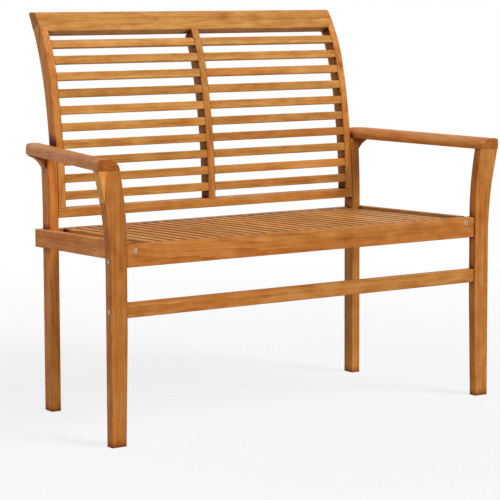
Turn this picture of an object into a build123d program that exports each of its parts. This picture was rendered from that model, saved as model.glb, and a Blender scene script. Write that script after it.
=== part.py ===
from build123d import *
import math
import os

os.makedirs("parts", exist_ok=True)

# Teak bench for two. Sizes are in millimetres and angles in radians.
# X runs along the bench, Y from front to back, Z up.
# The origin is on the ground under the middle of the bench.
quarter_turn = 90.0
hexagon_sides = 6

# Overall size
bench_width = 1120.0
bench_depth = 550.0
bench_height = 940.0

# Fits and edges
joint_clearance = 0.15
edge_chamfer = 1.2
overrun = 2.0

# Front legs: straight to the seat, then flared outwards to carry the arms
front_leg_inset = 29.0
front_leg_width = 42.0
front_leg_depth = 23.0
foot_taper = 5.4
foot_taper_height = 250.0
flare_inner_rise = 158.5
flare_inner_radius = 800.0
flare_outer_rise = 218.5
flare_outer_radius = 888.0
wedge_height = 70.0
wedge_set_in = 5.8

# Arms: boards that taper in plan and rise a little towards the back
arm_height = 603.5
arm_thickness = 25.0
arm_slope = 0.0166
arm_tail = 42.6
arm_front_width = 55.0
arm_rear_inset = 65.0
arm_stile_gap = 0.6
arm_roll_width = 35.5
arm_roll_radius = 19.0
arm_edge_round = 8.0
arm_corner_round = 24.0

# Brackets between the rear legs and the arms
bracket_reach = 38.0
bracket_drop = 32.0
bracket_depth = 20.0
bracket_setback = 8.0
bracket_lip = 3.5
bracket_hollow = 4.5

# Side rails, rear legs and uprights lie side by side from the outside inwards
side_rail_inset = 85.0
side_rail_thickness = 20.0
side_rail_width = 42.0
side_rail_lift = 1.5
rear_leg_thickness = 25.0
stile_thickness = 20.4
mullion_thickness = 20.4
stile_depth = 34.0

# Curve of the back: upright to the knee, a long sweep, then the tighter roll of the head.
# The two turns are the lean from upright, in degrees, at the end of the sweep and at the top.
knee_height = 468.0
sweep_turn = 13.65
head_rise = 135.0
head_turn = 39.28
head_depth = 27.2
heel_rise = 195.0
head_corner_round = 5.0
head_front_round = 12.0

# Back frame and its slats
crest_face = 54.0
crest_thickness = 25.0
back_rail_rise = 19.3
back_rail_width = 22.0
back_slat_count = 10
back_slat_width = 20.2
back_slat_thickness = 10.0
back_slat_recess = 0.6
head_gap = 23.0
foot_gap = 19.1
slat_tenon_length = 8.0
slat_tenon_width = 14.0
slat_tenon_thickness = 6.0

# Seat frame and its slats
seat_height = 440.0
seat_fall = 8.0
front_rail_setback = 3.0
front_rail_thickness = 20.0
front_rail_width = 49.0
front_rail_round = 5.0
stretcher_height = 281.0
stretcher_width = 32.0
rear_rail_thickness = 20.0
rear_rail_width = 42.0
rear_rail_inset = 2.0
seat_slat_count = 27
seat_slats_per_group = 3
seat_slat_width = 22.0
seat_slat_thickness = 15.0
seat_slat_chamfer = 1.5
seat_side_gap = 19.0
cleat_width = 20.0
cleat_thickness = 20.0

# Bolts with sunk hexagon socket heads, and the barrel nuts that they pull on
bolt_diameter = 6.0
bolt_head_diameter = 10.0
bolt_head_height = 4.0
bolt_socket_across = 5.0
bolt_socket_depth = 2.5
bolt_sink = 0.8
bolt_head_clearance = 0.9
bolt_tail = 7.0
barrel_diameter = 10.0
barrel_length = 13.0
barrel_distance = 45.0
leg_bolt_drop = 32.3
side_bolt_drop = 13.0
side_barrel_distance = 30.0

# Screws through the rear legs into the stiles of the back
screw_diameter = 4.5
screw_head_diameter = 8.5
screw_head_height = 3.0
screw_length = 36.0
screw_slot_across = 3.0
screw_slot_depth = 1.6
screw_sink = 1.0
screw_setback = 16.0
screw_rise_low = 7.7
screw_rise_high = 86.7

# Tenons of the frame
tenon_length = 10.0
tenon_thickness = 9.0
arm_tenon_width = 28.0
leg_tenon_width = 18.0
leg_tenon_inset = 8.0
rail_tenon_width = 26.0
upright_tenon_width = 16.0
crest_tenon_width = 13.0

# Places that follow from the sizes above
front_y = -bench_depth / 2
rear_y = bench_depth / 2
side_x = bench_width / 2
front_leg_outer = side_x - front_leg_inset
front_leg_inner = front_leg_outer - front_leg_width
side_rail_outer = side_x - side_rail_inset
rear_leg_outer = side_rail_outer - side_rail_thickness
stile_outer = rear_leg_outer - rear_leg_thickness
stile_inner = stile_outer - stile_thickness
mullion_half = mullion_thickness / 2
rail_front_y = front_y + front_rail_setback
rail_back_y = rail_front_y + front_rail_thickness
back_rail_base = seat_height + back_rail_rise
back_rail_top = back_rail_base + back_rail_width

# The two arcs on the front of the back, and the leg that stands far enough forward for them
roll_height = bench_height - head_rise
roll_lean = math.radians(sweep_turn)
crest_lean = math.radians(head_turn)
sweep_radius = (roll_height - knee_height) / math.sin(roll_lean)
roll_radius = head_rise / (math.sin(crest_lean) - math.sin(roll_lean))
sweep_reach = sweep_radius * (1 - math.cos(roll_lean))
roll_reach = roll_radius * (math.cos(roll_lean) - math.cos(crest_lean))
sweep_length = sweep_radius * roll_lean
roll_length = roll_radius * (crest_lean - roll_lean)
roll_y = rear_y - head_depth - roll_reach
back_y = roll_y - sweep_reach
rear_leg_back_y = back_y + stile_depth
rear_rail_back_y = rear_leg_back_y - rear_rail_inset
rear_rail_front_y = rear_rail_back_y - rear_rail_thickness


def back_distance(height):
    """Distance down the front of the back, from its top edge to a height."""
    if height > roll_height:
        lean = math.asin(math.sin(roll_lean) + (height - roll_height) / roll_radius)
        return roll_radius * (crest_lean - lean)
    if height > knee_height:
        lean = math.asin((height - knee_height) / sweep_radius)
        return roll_length + sweep_radius * (roll_lean - lean)
    return roll_length + sweep_length + knee_height - height


def back_lean(distance):
    """Lean of the back from upright, at a distance down its front."""
    if distance < roll_length:
        return crest_lean - distance / roll_radius
    return max(roll_lean - (distance - roll_length) / sweep_radius, 0)


def back_plane(distance, x=0):
    """Plane on the front of the back: its Z points into the wood, its Y down the curve."""
    lean = back_lean(distance)
    if distance < roll_length:
        y = roll_y + roll_radius * (math.cos(roll_lean) - math.cos(lean))
        z = roll_height + roll_radius * (math.sin(lean) - math.sin(roll_lean))
    else:
        y = back_y + sweep_radius * (1 - math.cos(lean))
        z = knee_height + sweep_radius * math.sin(lean)
        z = z - max(distance - roll_length - sweep_length, 0)
    into_wood = (0, math.cos(lean), -math.sin(lean))
    return Plane(origin=(x, y, z), x_dir=(1, 0, 0), z_dir=into_wood)


def seat_level(y):
    """Height of the top of the seat, which falls towards the back."""
    return seat_height - seat_fall * (y - rail_back_y) / (rear_rail_back_y - rail_back_y)


def arm_level(y):
    """Height of the underside of the arms, which rise towards the back."""
    return arm_height + arm_slope * (y - front_y)


def outer_flare(height):
    """Outer side of a front leg at a height above the start of its flare."""
    rise = height - (arm_height - flare_outer_rise)
    return front_leg_outer + flare_outer_radius - math.sqrt(flare_outer_radius ** 2 - rise ** 2)


def inner_flare(height):
    """Inner side of a front leg at a height above the start of its flare."""
    rise = height - (arm_height - flare_inner_rise)
    return front_leg_inner + flare_inner_radius - math.sqrt(flare_inner_radius ** 2 - rise ** 2)


def save_piece(piece, name):
    """Name a finished piece and write its file."""
    piece.part.label = name
    export_step(piece.part, f"parts/{name}.step")


def save_pair(right_piece, name):
    """Write a piece of the right side and its mirror image for the left side."""
    save_piece(right_piece, name + "_right")
    with BuildPart() as left_piece:
        mirror(right_piece.part, about=Plane.YZ)
    save_piece(left_piece, name + "_left")


def outward_plane(x, y, z):
    """Plane on the right side of the bench that faces outwards along X."""
    return Plane(origin=(x, y, z), x_dir=(0, 1, 0), z_dir=(1, 0, 0))


def forward_plane(x, y, z):
    """Plane that faces the front of the bench."""
    return Plane(origin=(x, y, z), x_dir=(1, 0, 0), z_dir=(0, -1, 0))


def rearward_plane(x, y, z):
    """Plane that faces the back of the bench."""
    return Plane(origin=(x, y, z), x_dir=(1, 0, 0), z_dir=(0, 1, 0))


def both_sides(planes):
    """Planes of the right side, and the same planes mirrored to the left side."""
    mirrored = []
    for plane in planes:
        origin = plane.origin
        outward = plane.z_dir
        along = plane.x_dir
        mirrored.append(
            Plane(
                origin=(-origin.X, origin.Y, origin.Z),
                x_dir=(-along.X, along.Y, along.Z),
                z_dir=(-outward.X, outward.Y, outward.Z),
            )
        )
    return list(planes) + mirrored


# Planes that cut or seat more than one piece
arm_plane = Plane(origin=(0, front_y, arm_height), x_dir=(1, 0, 0), z_dir=(0, -arm_slope, 1))
wedge_base_height = arm_height - wedge_height
wedge_plane = Plane(
    origin=(outer_flare(wedge_base_height), 0, wedge_base_height),
    x_dir=(0, 1, 0),
    z_dir=(wedge_height, 0, wedge_set_in),
)
crest_base = back_plane(crest_face)
crest_under_plane = Plane(origin=crest_base.origin, x_dir=(1, 0, 0), z_dir=-crest_base.y_dir)
mitre_low = back_plane(crest_face, stile_inner)
mitre_high = back_plane(crest_face - stile_thickness, stile_outer)
mitre_middle = back_plane(crest_face - stile_thickness / 2)
mitre_run = mitre_high.origin - mitre_low.origin
mitre_plane = Plane(
    origin=mitre_low.origin, x_dir=mitre_run, z_dir=mitre_run.cross(mitre_middle.z_dir)
)

# Places of the fasteners on the right side
leg_middle_y = front_y + front_leg_depth / 2
rail_middle_y = rail_front_y + front_rail_thickness / 2
front_rail_bolt_z = seat_height - leg_bolt_drop
stretcher_bolt_z = stretcher_height + stretcher_width / 2
side_rail_middle = side_rail_outer - side_rail_thickness / 2
side_bolt_z = seat_height - side_bolt_drop
rear_rail_middle_y = rear_rail_back_y - rear_rail_thickness / 2
rear_rail_top = seat_level(rear_rail_front_y)
rear_rail_base = rear_rail_top - rear_rail_width
head_bore_depth = bolt_head_height + bolt_sink
barrel_bore_depth = (front_rail_thickness + barrel_length) / 2 + joint_clearance

leg_bolt_planes = [
    outward_plane(front_leg_outer, rail_middle_y, front_rail_bolt_z),
    outward_plane(front_leg_outer, rail_middle_y, stretcher_bolt_z),
]
side_bolt_planes = [forward_plane(side_rail_middle, rail_front_y, side_bolt_z)]
screw_planes = [
    outward_plane(rear_leg_outer, back_plane(back_distance(z)).origin.Y + screw_setback, z)
    for z in (back_rail_top + screw_rise_low, back_rail_top + screw_rise_high)
]
leg_bolt_length = front_leg_width + barrel_distance - head_bore_depth + bolt_tail
side_bolt_length = front_rail_thickness + side_barrel_distance - head_bore_depth + bolt_tail
screw_reach = (
    screw_length + screw_sink + screw_head_height - rear_leg_thickness + joint_clearance
)


def bolt_bore(planes, depth):
    """Cut the sunk head's bore and the shank's bore of each bolt, with a clear mouth."""
    mouths = [plane.offset(overrun) for plane in planes]
    with Locations(*mouths):
        CounterBoreHole(
            radius=bolt_diameter / 2 + joint_clearance,
            counter_bore_radius=bolt_head_diameter / 2 + bolt_head_clearance,
            counter_bore_depth=head_bore_depth + overrun,
            depth=depth + overrun,
        )


def round_bore(planes, diameter, depth):
    """Cut a plain round bore into the wood at each plane on its surface."""
    with Locations(*planes):
        Hole(radius=diameter / 2 + joint_clearance, depth=depth)


def add_tenons(planes, size):
    """Tenons whose middles lie on these planes, half of each inside its own board."""
    with Locations(*planes):
        Box(*size)


def cut_mortises(planes, size):
    """Cut the pockets around tenons whose middles lie on these planes."""
    with Locations(*planes):
        Box(*[side + joint_clearance * 2 for side in size], mode=Mode.SUBTRACT)


def eased_board(corner_low, corner_high):
    """Board between two corners that runs along the bench, with its long edges eased."""
    size = [high - low for low, high in zip(corner_low, corner_high)]
    middle = [(high + low) / 2 for low, high in zip(corner_low, corner_high)]
    with BuildPart() as board:
        with Locations(tuple(middle)):
            Box(*size)
        chamfer(board.edges().filter_by(Axis.X), edge_chamfer)
    return board.part


def sloping_board(y_front, y_rear, z_front, z_rear, width, x_low, x_high, easing):
    """Board that runs front to back on the slope of the seat, with upright ends."""
    with BuildPart() as board:
        with BuildSketch(Plane.YZ.offset(x_low)):
            with BuildLine():
                Polyline(
                    (y_front, z_front),
                    (y_rear, z_rear),
                    (y_rear, z_rear - width),
                    (y_front, z_front - width),
                    close=True,
                )
            make_face()
        extrude(amount=x_high - x_low)
        sides = board.edges().filter_by(Axis.X, reverse=True).filter_by(Axis.Z, reverse=True)
        chamfer(sides, easing)
    return board.part


def back_outline():
    """Side view of the uprights: legs, curved back and rounded head, from the ground up."""
    corner = Vector(rear_y - head_corner_round, bench_height - head_corner_round)
    heel_lean = back_lean(back_distance(bench_height - heel_rise))
    inward = Vector(math.cos(heel_lean), -math.sin(heel_lean))
    heel_centre = Vector(back_y + sweep_radius, knee_height)
    heel_start = heel_centre - inward * (sweep_radius - stile_depth)
    gap = heel_start - corner
    heel_radius = (gap.length ** 2 - head_corner_round ** 2) / (
        2 * (head_corner_round - inward.dot(gap))
    )
    to_heel = (heel_start + inward * heel_radius - corner).normalized()
    heel_end = corner + to_heel * head_corner_round
    end_angle = math.degrees(math.atan2(to_heel.Y, to_heel.X))
    with BuildSketch(Plane.YZ) as outline:
        with BuildLine():
            shin = Line((back_y, 0), (back_y, knee_height))
            sweep = JernArc(shin @ 1, shin % 1, sweep_radius, -math.degrees(roll_lean))
            roll = JernArc(
                sweep @ 1, sweep % 1, roll_radius, -math.degrees(crest_lean - roll_lean)
            )
            calf = Line((rear_leg_back_y, 0), (rear_leg_back_y, knee_height))
            calf_sweep = JernArc(
                calf @ 1, calf % 1, sweep_radius - stile_depth, -math.degrees(heel_lean)
            )
            TangentArc(calf_sweep @ 1, heel_end, tangent=calf_sweep % 1)
            nose = CenterArc(corner, head_corner_round, end_angle, quarter_turn - end_angle)
            Line(nose @ 1, roll @ 1)
            Line(shin @ 0, calf @ 0)
        make_face()
        fillet(outline.vertices().sort_by_distance(roll @ 1)[0], head_front_round)
    return outline.sketch


def back_upright(x_low, x_high):
    """Board with the full side view of the uprights, from one X to another."""
    with BuildPart() as upright:
        extrude(back_outline().moved(Location((x_low, 0, 0))), amount=x_high - x_low)
    return upright.part


def long_edges(piece, shortest):
    """Edges of a piece that are longer than a given length."""
    return piece.edges().filter_by(lambda edge: edge.length > shortest)


# Front legs, each glued up from a board and a wedge that widens the flare
with BuildPart() as leg_blank:
    with BuildSketch(Plane.XZ.offset(-front_y)):
        blank_top = arm_height + overrun
        with BuildLine():
            foot = Line((front_leg_inner + foot_taper, 0), (front_leg_outer, 0))
            shin_out = Line(foot @ 1, (front_leg_outer, arm_height - flare_outer_rise))
            flare_out = TangentArc(
                shin_out @ 1, (outer_flare(blank_top), blank_top), tangent=(0, 1)
            )
            shin_in = Polyline(
                foot @ 0,
                (front_leg_inner, foot_taper_height),
                (front_leg_inner, arm_height - flare_inner_rise),
            )
            flare_in = TangentArc(
                shin_in @ 1, (inner_flare(blank_top), blank_top), tangent=(0, 1)
            )
            Line(flare_in @ 1, flare_out @ 1)
        make_face()
    extrude(amount=-front_leg_depth)
    split(bisect_by=arm_plane, keep=Keep.BOTTOM)

# Tenons on top of the front legs and the rear legs reach into the arms
leg_top_inner = inner_flare(arm_height)
leg_top_outer = outer_flare(wedge_base_height) - wedge_set_in
leg_top_middle = (leg_top_inner + leg_top_outer) / 2
rear_leg_top = arm_level(back_y)
arm_back_y = back_plane(back_distance(rear_leg_top)).origin.Y
rear_leg_top_y = arm_back_y + stile_depth / 2
front_leg_tenon = (arm_tenon_width, tenon_thickness, tenon_length * 2)
rear_leg_tenon = (tenon_thickness, leg_tenon_width, tenon_length * 2)
front_tenon_planes = [
    Plane(
        origin=(leg_top_middle, leg_middle_y, arm_level(leg_middle_y)),
        x_dir=(1, 0, 0),
        z_dir=arm_plane.z_dir,
    )
]
rear_tenon_planes = [
    Plane(
        origin=(rear_leg_outer - leg_tenon_inset, rear_leg_top_y, arm_level(rear_leg_top_y)),
        x_dir=(1, 0, 0),
        z_dir=arm_plane.z_dir,
    )
]

with BuildPart() as front_leg:
    add(leg_blank.part)
    split(bisect_by=wedge_plane, keep=Keep.BOTTOM)
    chamfer(long_edges(front_leg, wedge_height + front_leg_depth), edge_chamfer)
    bolt_bore(leg_bolt_planes, front_leg_width + overrun)
    add_tenons(front_tenon_planes, front_leg_tenon)
save_pair(front_leg, "front_leg")

with BuildPart() as front_leg_wedge:
    add(leg_blank.part)
    split(bisect_by=wedge_plane, keep=Keep.TOP)
save_pair(front_leg_wedge, "front_leg_wedge")


# Arms: tapered boards, planed to a rolled profile that runs along the sitter's side
arm_rear_y = arm_back_y + arm_tail
arm_front_inner = side_x - arm_front_width
arm_rear_inner = stile_outer + arm_stile_gap
arm_rear_outer = side_x - arm_rear_inset
arm_length = arm_rear_y - front_y
arm_nose = arm_slope * arm_thickness
arm_run = arm_plane.x_dir * (arm_rear_inner - arm_front_inner) + arm_plane.y_dir * arm_length
roll_plane = Plane(
    origin=arm_plane.from_local_coords((arm_front_inner, 0)),
    x_dir=arm_run.cross(arm_plane.z_dir),
    z_dir=-arm_run,
)
crown_radius = (
    arm_roll_width ** 2 + arm_thickness ** 2 - 2 * arm_roll_width * arm_roll_radius
) / (2 * (arm_thickness - arm_roll_radius))
lip_turn = math.degrees(
    math.acos((arm_roll_width - arm_roll_radius) / (crown_radius - arm_roll_radius))
)
with BuildPart() as arm:
    with BuildSketch(arm_plane) as arm_plan:
        with BuildLine():
            Polyline(
                (arm_rear_inner - overrun, arm_nose),
                (side_x, arm_nose),
                (arm_rear_outer, arm_length),
                (arm_rear_inner - overrun, arm_length),
                close=True,
            )
        make_face()
        rear_corner = Vector(arm_rear_outer, arm_length)
        fillet(arm_plan.vertices().sort_by_distance(rear_corner)[0], arm_corner_round)
    extrude(amount=arm_thickness)
    top_corner = (side_x, front_y, arm_height + arm_thickness)
    fillet(long_edges(arm, arm_length / 2).sort_by_distance(top_corner)[0], arm_edge_round)
    with BuildSketch(roll_plane):
        with BuildLine():
            lip = JernArc((0, 0), (0, 1), arm_roll_radius, -lip_turn)
            crown = JernArc(lip @ 1, lip % 1, crown_radius, lip_turn - quarter_turn)
            Polyline(crown @ 1, (arm_length, arm_thickness), (arm_length, 0), (0, 0))
        make_face()
    extrude(amount=arm_run.length + overrun, both=True, mode=Mode.INTERSECT)
    cut_mortises(front_tenon_planes, front_leg_tenon)
    cut_mortises(rear_tenon_planes, rear_leg_tenon)
save_pair(arm, "arm")

# Rear legs, cut from the same side view as the back frame and ending under the arms
rail_tenon = (tenon_thickness, rail_tenon_width, tenon_length * 2)
rear_rail_middle_z = (rear_rail_top + rear_rail_base) / 2
rail_tenon_planes = [outward_plane(stile_outer, rear_rail_middle_y, rear_rail_middle_z)]
with BuildPart() as rear_leg:
    add(back_upright(stile_outer, rear_leg_outer))
    split(bisect_by=arm_plane, keep=Keep.BOTTOM)
    chamfer(long_edges(rear_leg, stile_depth + rear_leg_thickness), edge_chamfer)
    with Locations(*screw_planes):
        CounterBoreHole(
            radius=screw_diameter / 2 + joint_clearance,
            counter_bore_radius=screw_head_diameter / 2 + joint_clearance,
            counter_bore_depth=screw_head_height + screw_sink,
            depth=rear_leg_thickness + overrun,
        )
    add_tenons(rear_tenon_planes, rear_leg_tenon)
    cut_mortises(rail_tenon_planes, rail_tenon)
save_pair(rear_leg, "rear_leg")

# Brackets with a shallow hollow edge, on the outside of the rear legs
with BuildPart() as arm_bracket:
    bracket_base = rear_leg_top - bracket_drop
    bracket_y = back_plane(back_distance(bracket_base)).origin.Y + bracket_setback
    bracket_top = arm_level(bracket_y + bracket_depth) + overrun
    with BuildSketch(Plane.XZ.offset(-bracket_y)):
        with BuildLine():
            hollow = SagittaArc(
                (rear_leg_outer + bracket_lip, bracket_base),
                (rear_leg_outer + bracket_reach, rear_leg_top - bracket_lip),
                bracket_hollow,
            )
            Polyline(
                hollow @ 0,
                (rear_leg_outer, bracket_base),
                (rear_leg_outer, bracket_top),
                (rear_leg_outer + bracket_reach, bracket_top),
                hollow @ 1,
            )
        make_face()
    extrude(amount=-bracket_depth)
    split(bisect_by=arm_plane, keep=Keep.BOTTOM)
save_pair(arm_bracket, "arm_bracket")

# Slats and their tenons share one set of planes on the curve of the back
first_slat = crest_face + head_gap + back_slat_width / 2
last_slat = back_distance(back_rail_top) - foot_gap - back_slat_width / 2
back_slat_pitch = (last_slat - first_slat) / (back_slat_count - 1)
back_slat_distances = [first_slat + back_slat_pitch * i for i in range(back_slat_count)]
slat_tenon_depth = back_slat_recess + (back_slat_thickness - slat_tenon_thickness) / 2


def slat_mortises(x_middle):
    """Cut the pockets that take the tenons of the slats, half of each outside the board."""
    wide = (slat_tenon_length + joint_clearance) * 2
    tall = slat_tenon_width + joint_clearance * 2
    deep = slat_tenon_thickness + joint_clearance * 2
    planes = [back_plane(distance, x_middle) for distance in back_slat_distances]
    with Locations(*[plane.offset(slat_tenon_depth - joint_clearance) for plane in planes]):
        Box(
            wide,
            tall,
            deep,
            align=(Align.CENTER, Align.CENTER, Align.MIN),
            mode=Mode.SUBTRACT,
        )


def crest_joint_plane(distance, x):
    """Plane across the middle of the crest rail's thickness, facing up the curve."""
    base = back_plane(distance, x)
    middle = base.origin + base.z_dir * (crest_thickness / 2)
    return Plane(origin=middle, x_dir=(1, 0, 0), z_dir=-base.y_dir)


# Tenons of the stiles and the mullion, up into the crest rail and down into the bottom rail
stile_middle = (stile_inner + stile_outer) / 2
foot_middle_y = back_y + stile_depth / 2
foot_tenon = (tenon_thickness, upright_tenon_width, tenon_length * 2)
crest_tenon = (tenon_thickness, crest_tenon_width, tenon_length * 2)
stile_foot_planes = [Plane(origin=(stile_middle, foot_middle_y, back_rail_top))]
stile_crest_planes = [crest_joint_plane(crest_face - stile_thickness / 2, stile_middle)]
mullion_foot_planes = [Plane(origin=(0, foot_middle_y, back_rail_top))]
mullion_crest_planes = [crest_joint_plane(crest_face, 0)]

# Back frame: stiles mitred to the crest rail, and a mullion between crest and bottom rail
with BuildPart() as back_stile:
    add(back_upright(stile_inner, stile_outer))
    split(bisect_by=Plane.XY.offset(back_rail_top), keep=Keep.TOP)
    split(bisect_by=mitre_plane, keep=Keep.BOTTOM)
    chamfer(long_edges(back_stile, stile_depth + stile_thickness), edge_chamfer)
    slat_mortises(stile_inner)
    add_tenons(stile_foot_planes, foot_tenon)
    add_tenons(stile_crest_planes, crest_tenon)
    screw_mouths = [plane.offset(-rear_leg_thickness) for plane in screw_planes]
    round_bore(screw_mouths, screw_diameter, screw_reach)
save_pair(back_stile, "back_stile")

with BuildPart() as back_mullion:
    add(back_upright(-mullion_half, mullion_half))
    split(bisect_by=Plane.XY.offset(back_rail_top), keep=Keep.TOP)
    split(bisect_by=crest_under_plane, keep=Keep.BOTTOM)
    chamfer(long_edges(back_mullion, stile_depth + mullion_thickness), edge_chamfer)
    for side in (-1, 1):
        slat_mortises(side * mullion_half)
    add_tenons(mullion_foot_planes, foot_tenon)
    add_tenons(mullion_crest_planes, crest_tenon)
save_piece(back_mullion, "back_mullion")

with BuildPart() as crest_end:
    extrude(back_outline().moved(Location((stile_inner, 0, 0))), amount=stile_thickness)
    split(bisect_by=mitre_plane, keep=Keep.TOP)

with BuildPart() as crest_rail:
    extrude(back_outline().moved(Location((-stile_inner, 0, 0))), amount=stile_inner * 2)
    split(bisect_by=crest_under_plane, keep=Keep.TOP)
    crest_heel = crest_base.origin + crest_base.z_dir * crest_thickness
    corner_y = rear_y - head_corner_round - crest_heel.Y
    corner_z = bench_height - head_corner_round - crest_heel.Z
    crest_back_lean = math.atan2(corner_y, corner_z) + math.asin(
        head_corner_round / math.hypot(corner_y, corner_z)
    )
    crest_back_plane = Plane(
        origin=crest_heel,
        x_dir=(1, 0, 0),
        z_dir=(0, math.cos(crest_back_lean), -math.sin(crest_back_lean)),
    )
    split(bisect_by=crest_back_plane, keep=Keep.BOTTOM)
    for corner in (crest_base.origin, crest_heel):
        low_edges = crest_rail.edges().filter_by(Axis.X).sort_by_distance(corner)
        chamfer(low_edges[0], edge_chamfer)
    add(crest_end.part)
    mirror(crest_end.part, about=Plane.YZ)
    cut_mortises(both_sides(stile_crest_planes) + mullion_crest_planes, crest_tenon)
save_piece(crest_rail, "crest_rail")

with BuildPart() as back_bottom_rail:
    add(
        eased_board(
            (-stile_outer, back_y, back_rail_base),
            (stile_outer, back_y + stile_depth, back_rail_top),
        )
    )
    cut_mortises(both_sides(stile_foot_planes) + mullion_foot_planes, foot_tenon)
save_piece(back_bottom_rail, "back_bottom_rail")


# Back slats, each with a tenon at both ends
def make_back_slat(distance, x_middle):
    """Slat across one half of the back, at a distance down its curve."""
    length = stile_inner - mullion_half
    plane = back_plane(distance, x_middle)
    with BuildPart() as slat:
        with Locations(plane.offset(back_slat_recess)):
            Box(
                length,
                back_slat_width,
                back_slat_thickness,
                align=(Align.CENTER, Align.CENTER, Align.MIN),
            )
        chamfer(slat.edges().filter_by(Axis.X), edge_chamfer)
        with Locations(plane.offset(slat_tenon_depth)):
            Box(
                length + slat_tenon_length * 2,
                slat_tenon_width,
                slat_tenon_thickness,
                align=(Align.CENTER, Align.CENTER, Align.MIN),
            )
    return slat


half_middle = (stile_inner + mullion_half) / 2
for side, side_name in ((-1, "left"), (1, "right")):
    for i, slat_distance in enumerate(back_slat_distances):
        back_slat = make_back_slat(slat_distance, side * half_middle)
        save_piece(back_slat, f"back_slat_{side_name}_{i + 1:02d}")

# Front rail and stretcher, bolted between the front legs
front_rail_base = seat_height - front_rail_width
leg_barrel_x = front_leg_inner - barrel_distance
rail_end_bore = barrel_distance + bolt_tail + joint_clearance
with BuildPart() as front_rail:
    with BuildSketch(Plane.YZ.offset(-front_leg_inner)):
        with Locations((rail_front_y, front_rail_base)):
            Rectangle(
                front_rail_thickness, front_rail_width, align=(Align.MIN, Align.MIN)
            )
    extrude(amount=front_leg_inner * 2)
    rail_edges = front_rail.edges().filter_by(Axis.X).sort_by_distance(
        (0, rail_front_y, seat_height)
    )
    fillet(rail_edges[0], front_rail_round)
    chamfer(rail_edges[1:], edge_chamfer)
    rail_ends = both_sides([outward_plane(front_leg_inner, rail_middle_y, front_rail_bolt_z)])
    round_bore(rail_ends, bolt_diameter, rail_end_bore)
    bolt_bore(both_sides(side_bolt_planes), front_rail_thickness + overrun)
    nut_mouths = both_sides([rearward_plane(leg_barrel_x, rail_back_y, front_rail_bolt_z)])
    round_bore(nut_mouths, barrel_diameter, barrel_bore_depth)
save_piece(front_rail, "front_rail")

with BuildPart() as front_stretcher:
    add(
        eased_board(
            (-front_leg_inner, rail_front_y, stretcher_height),
            (front_leg_inner, rail_back_y, stretcher_height + stretcher_width),
        )
    )
    rail_ends = both_sides([outward_plane(front_leg_inner, rail_middle_y, stretcher_bolt_z)])
    round_bore(rail_ends, bolt_diameter, rail_end_bore)
    nut_mouths = both_sides([rearward_plane(leg_barrel_x, rail_back_y, stretcher_bolt_z)])
    round_bore(nut_mouths, barrel_diameter, barrel_bore_depth)
save_piece(front_stretcher, "front_stretcher")

# Side rails, on the outside of the rear legs
side_barrel_y = rail_back_y + side_barrel_distance
side_barrel_bore = (side_rail_thickness + barrel_length) / 2 + joint_clearance
with BuildPart() as side_rail:
    add(
        sloping_board(
            rail_back_y,
            rear_leg_back_y,
            seat_level(rail_back_y) + side_rail_lift,
            seat_level(rear_leg_back_y) + side_rail_lift,
            side_rail_width,
            rear_leg_outer,
            side_rail_outer,
            edge_chamfer,
        )
    )
    rail_end = [forward_plane(side_rail_middle, rail_back_y, side_bolt_z)]
    round_bore(rail_end, bolt_diameter, side_barrel_distance + bolt_tail + joint_clearance)
    nut_mouth = Plane(
        origin=(rear_leg_outer, side_barrel_y, side_bolt_z), x_dir=(0, 1, 0), z_dir=(-1, 0, 0)
    )
    round_bore([nut_mouth], barrel_diameter, side_barrel_bore)
save_pair(side_rail, "side_rail")

# Rear rail, tenoned between the rear legs
with BuildPart() as rear_rail:
    add(
        eased_board(
            (-stile_outer, rear_rail_front_y, rear_rail_base),
            (stile_outer, rear_rail_back_y, rear_rail_top),
        )
    )
    add_tenons(both_sides(rail_tenon_planes), rail_tenon)
save_piece(rear_rail, "rear_rail")

# Cleats under both ends of the seat slats
seat_half = stile_outer - seat_side_gap


def make_cleat(y_front, y_rear):
    """Batten whose top follows the underside of the seat slats."""
    with BuildPart() as cleat:
        add(
            sloping_board(
                y_front,
                y_rear,
                seat_level(y_front) - seat_slat_thickness,
                seat_level(y_rear) - seat_slat_thickness,
                cleat_width,
                -seat_half,
                seat_half,
                edge_chamfer,
            )
        )
    return cleat


save_piece(make_cleat(rail_back_y, rail_back_y + cleat_thickness), "seat_cleat_front")
save_piece(make_cleat(rear_rail_front_y - cleat_thickness, rear_rail_front_y), "seat_cleat_rear")

# Seat slats run front to back and are kept in groups of neighbours
seat_slat_pitch = (seat_half * 2 - seat_slat_width) / (seat_slat_count - 1)
seat_group_count = math.ceil(seat_slat_count / seat_slats_per_group)
seat_slat_starts = [-seat_half + seat_slat_pitch * i for i in range(seat_slat_count)]
for group in range(seat_group_count):
    first = group * seat_slats_per_group
    with BuildPart() as seat_slats:
        for x_low in seat_slat_starts[first : first + seat_slats_per_group]:
            add(
                sloping_board(
                    rail_back_y,
                    rear_rail_front_y,
                    seat_level(rail_back_y),
                    seat_level(rear_rail_front_y),
                    seat_slat_thickness,
                    x_low,
                    x_low + seat_slat_width,
                    seat_slat_chamfer,
                )
            )
    save_piece(seat_slats, f"seat_slats_{group + 1}")


# Fasteners, each kind in one file
def add_bolts(planes, length):
    """Bolts with a hexagon socket, their heads sunk below each plane."""
    for plane in planes:
        with BuildPart(mode=Mode.PRIVATE) as bolt:
            with BuildSketch(plane.offset(-head_bore_depth)):
                Circle(bolt_head_diameter / 2)
            extrude(amount=bolt_head_height)
            with BuildSketch(plane.offset(-bolt_sink)):
                RegularPolygon(bolt_socket_across / 2, hexagon_sides, major_radius=False)
            extrude(amount=-bolt_socket_depth, mode=Mode.SUBTRACT)
            with BuildSketch(plane.offset(-head_bore_depth)):
                Circle(bolt_diameter / 2)
            extrude(amount=-length)
        add(bolt.part)


with BuildPart() as leg_bolts:
    add_bolts(both_sides(leg_bolt_planes), leg_bolt_length)
save_piece(leg_bolts, "leg_bolts")

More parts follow.
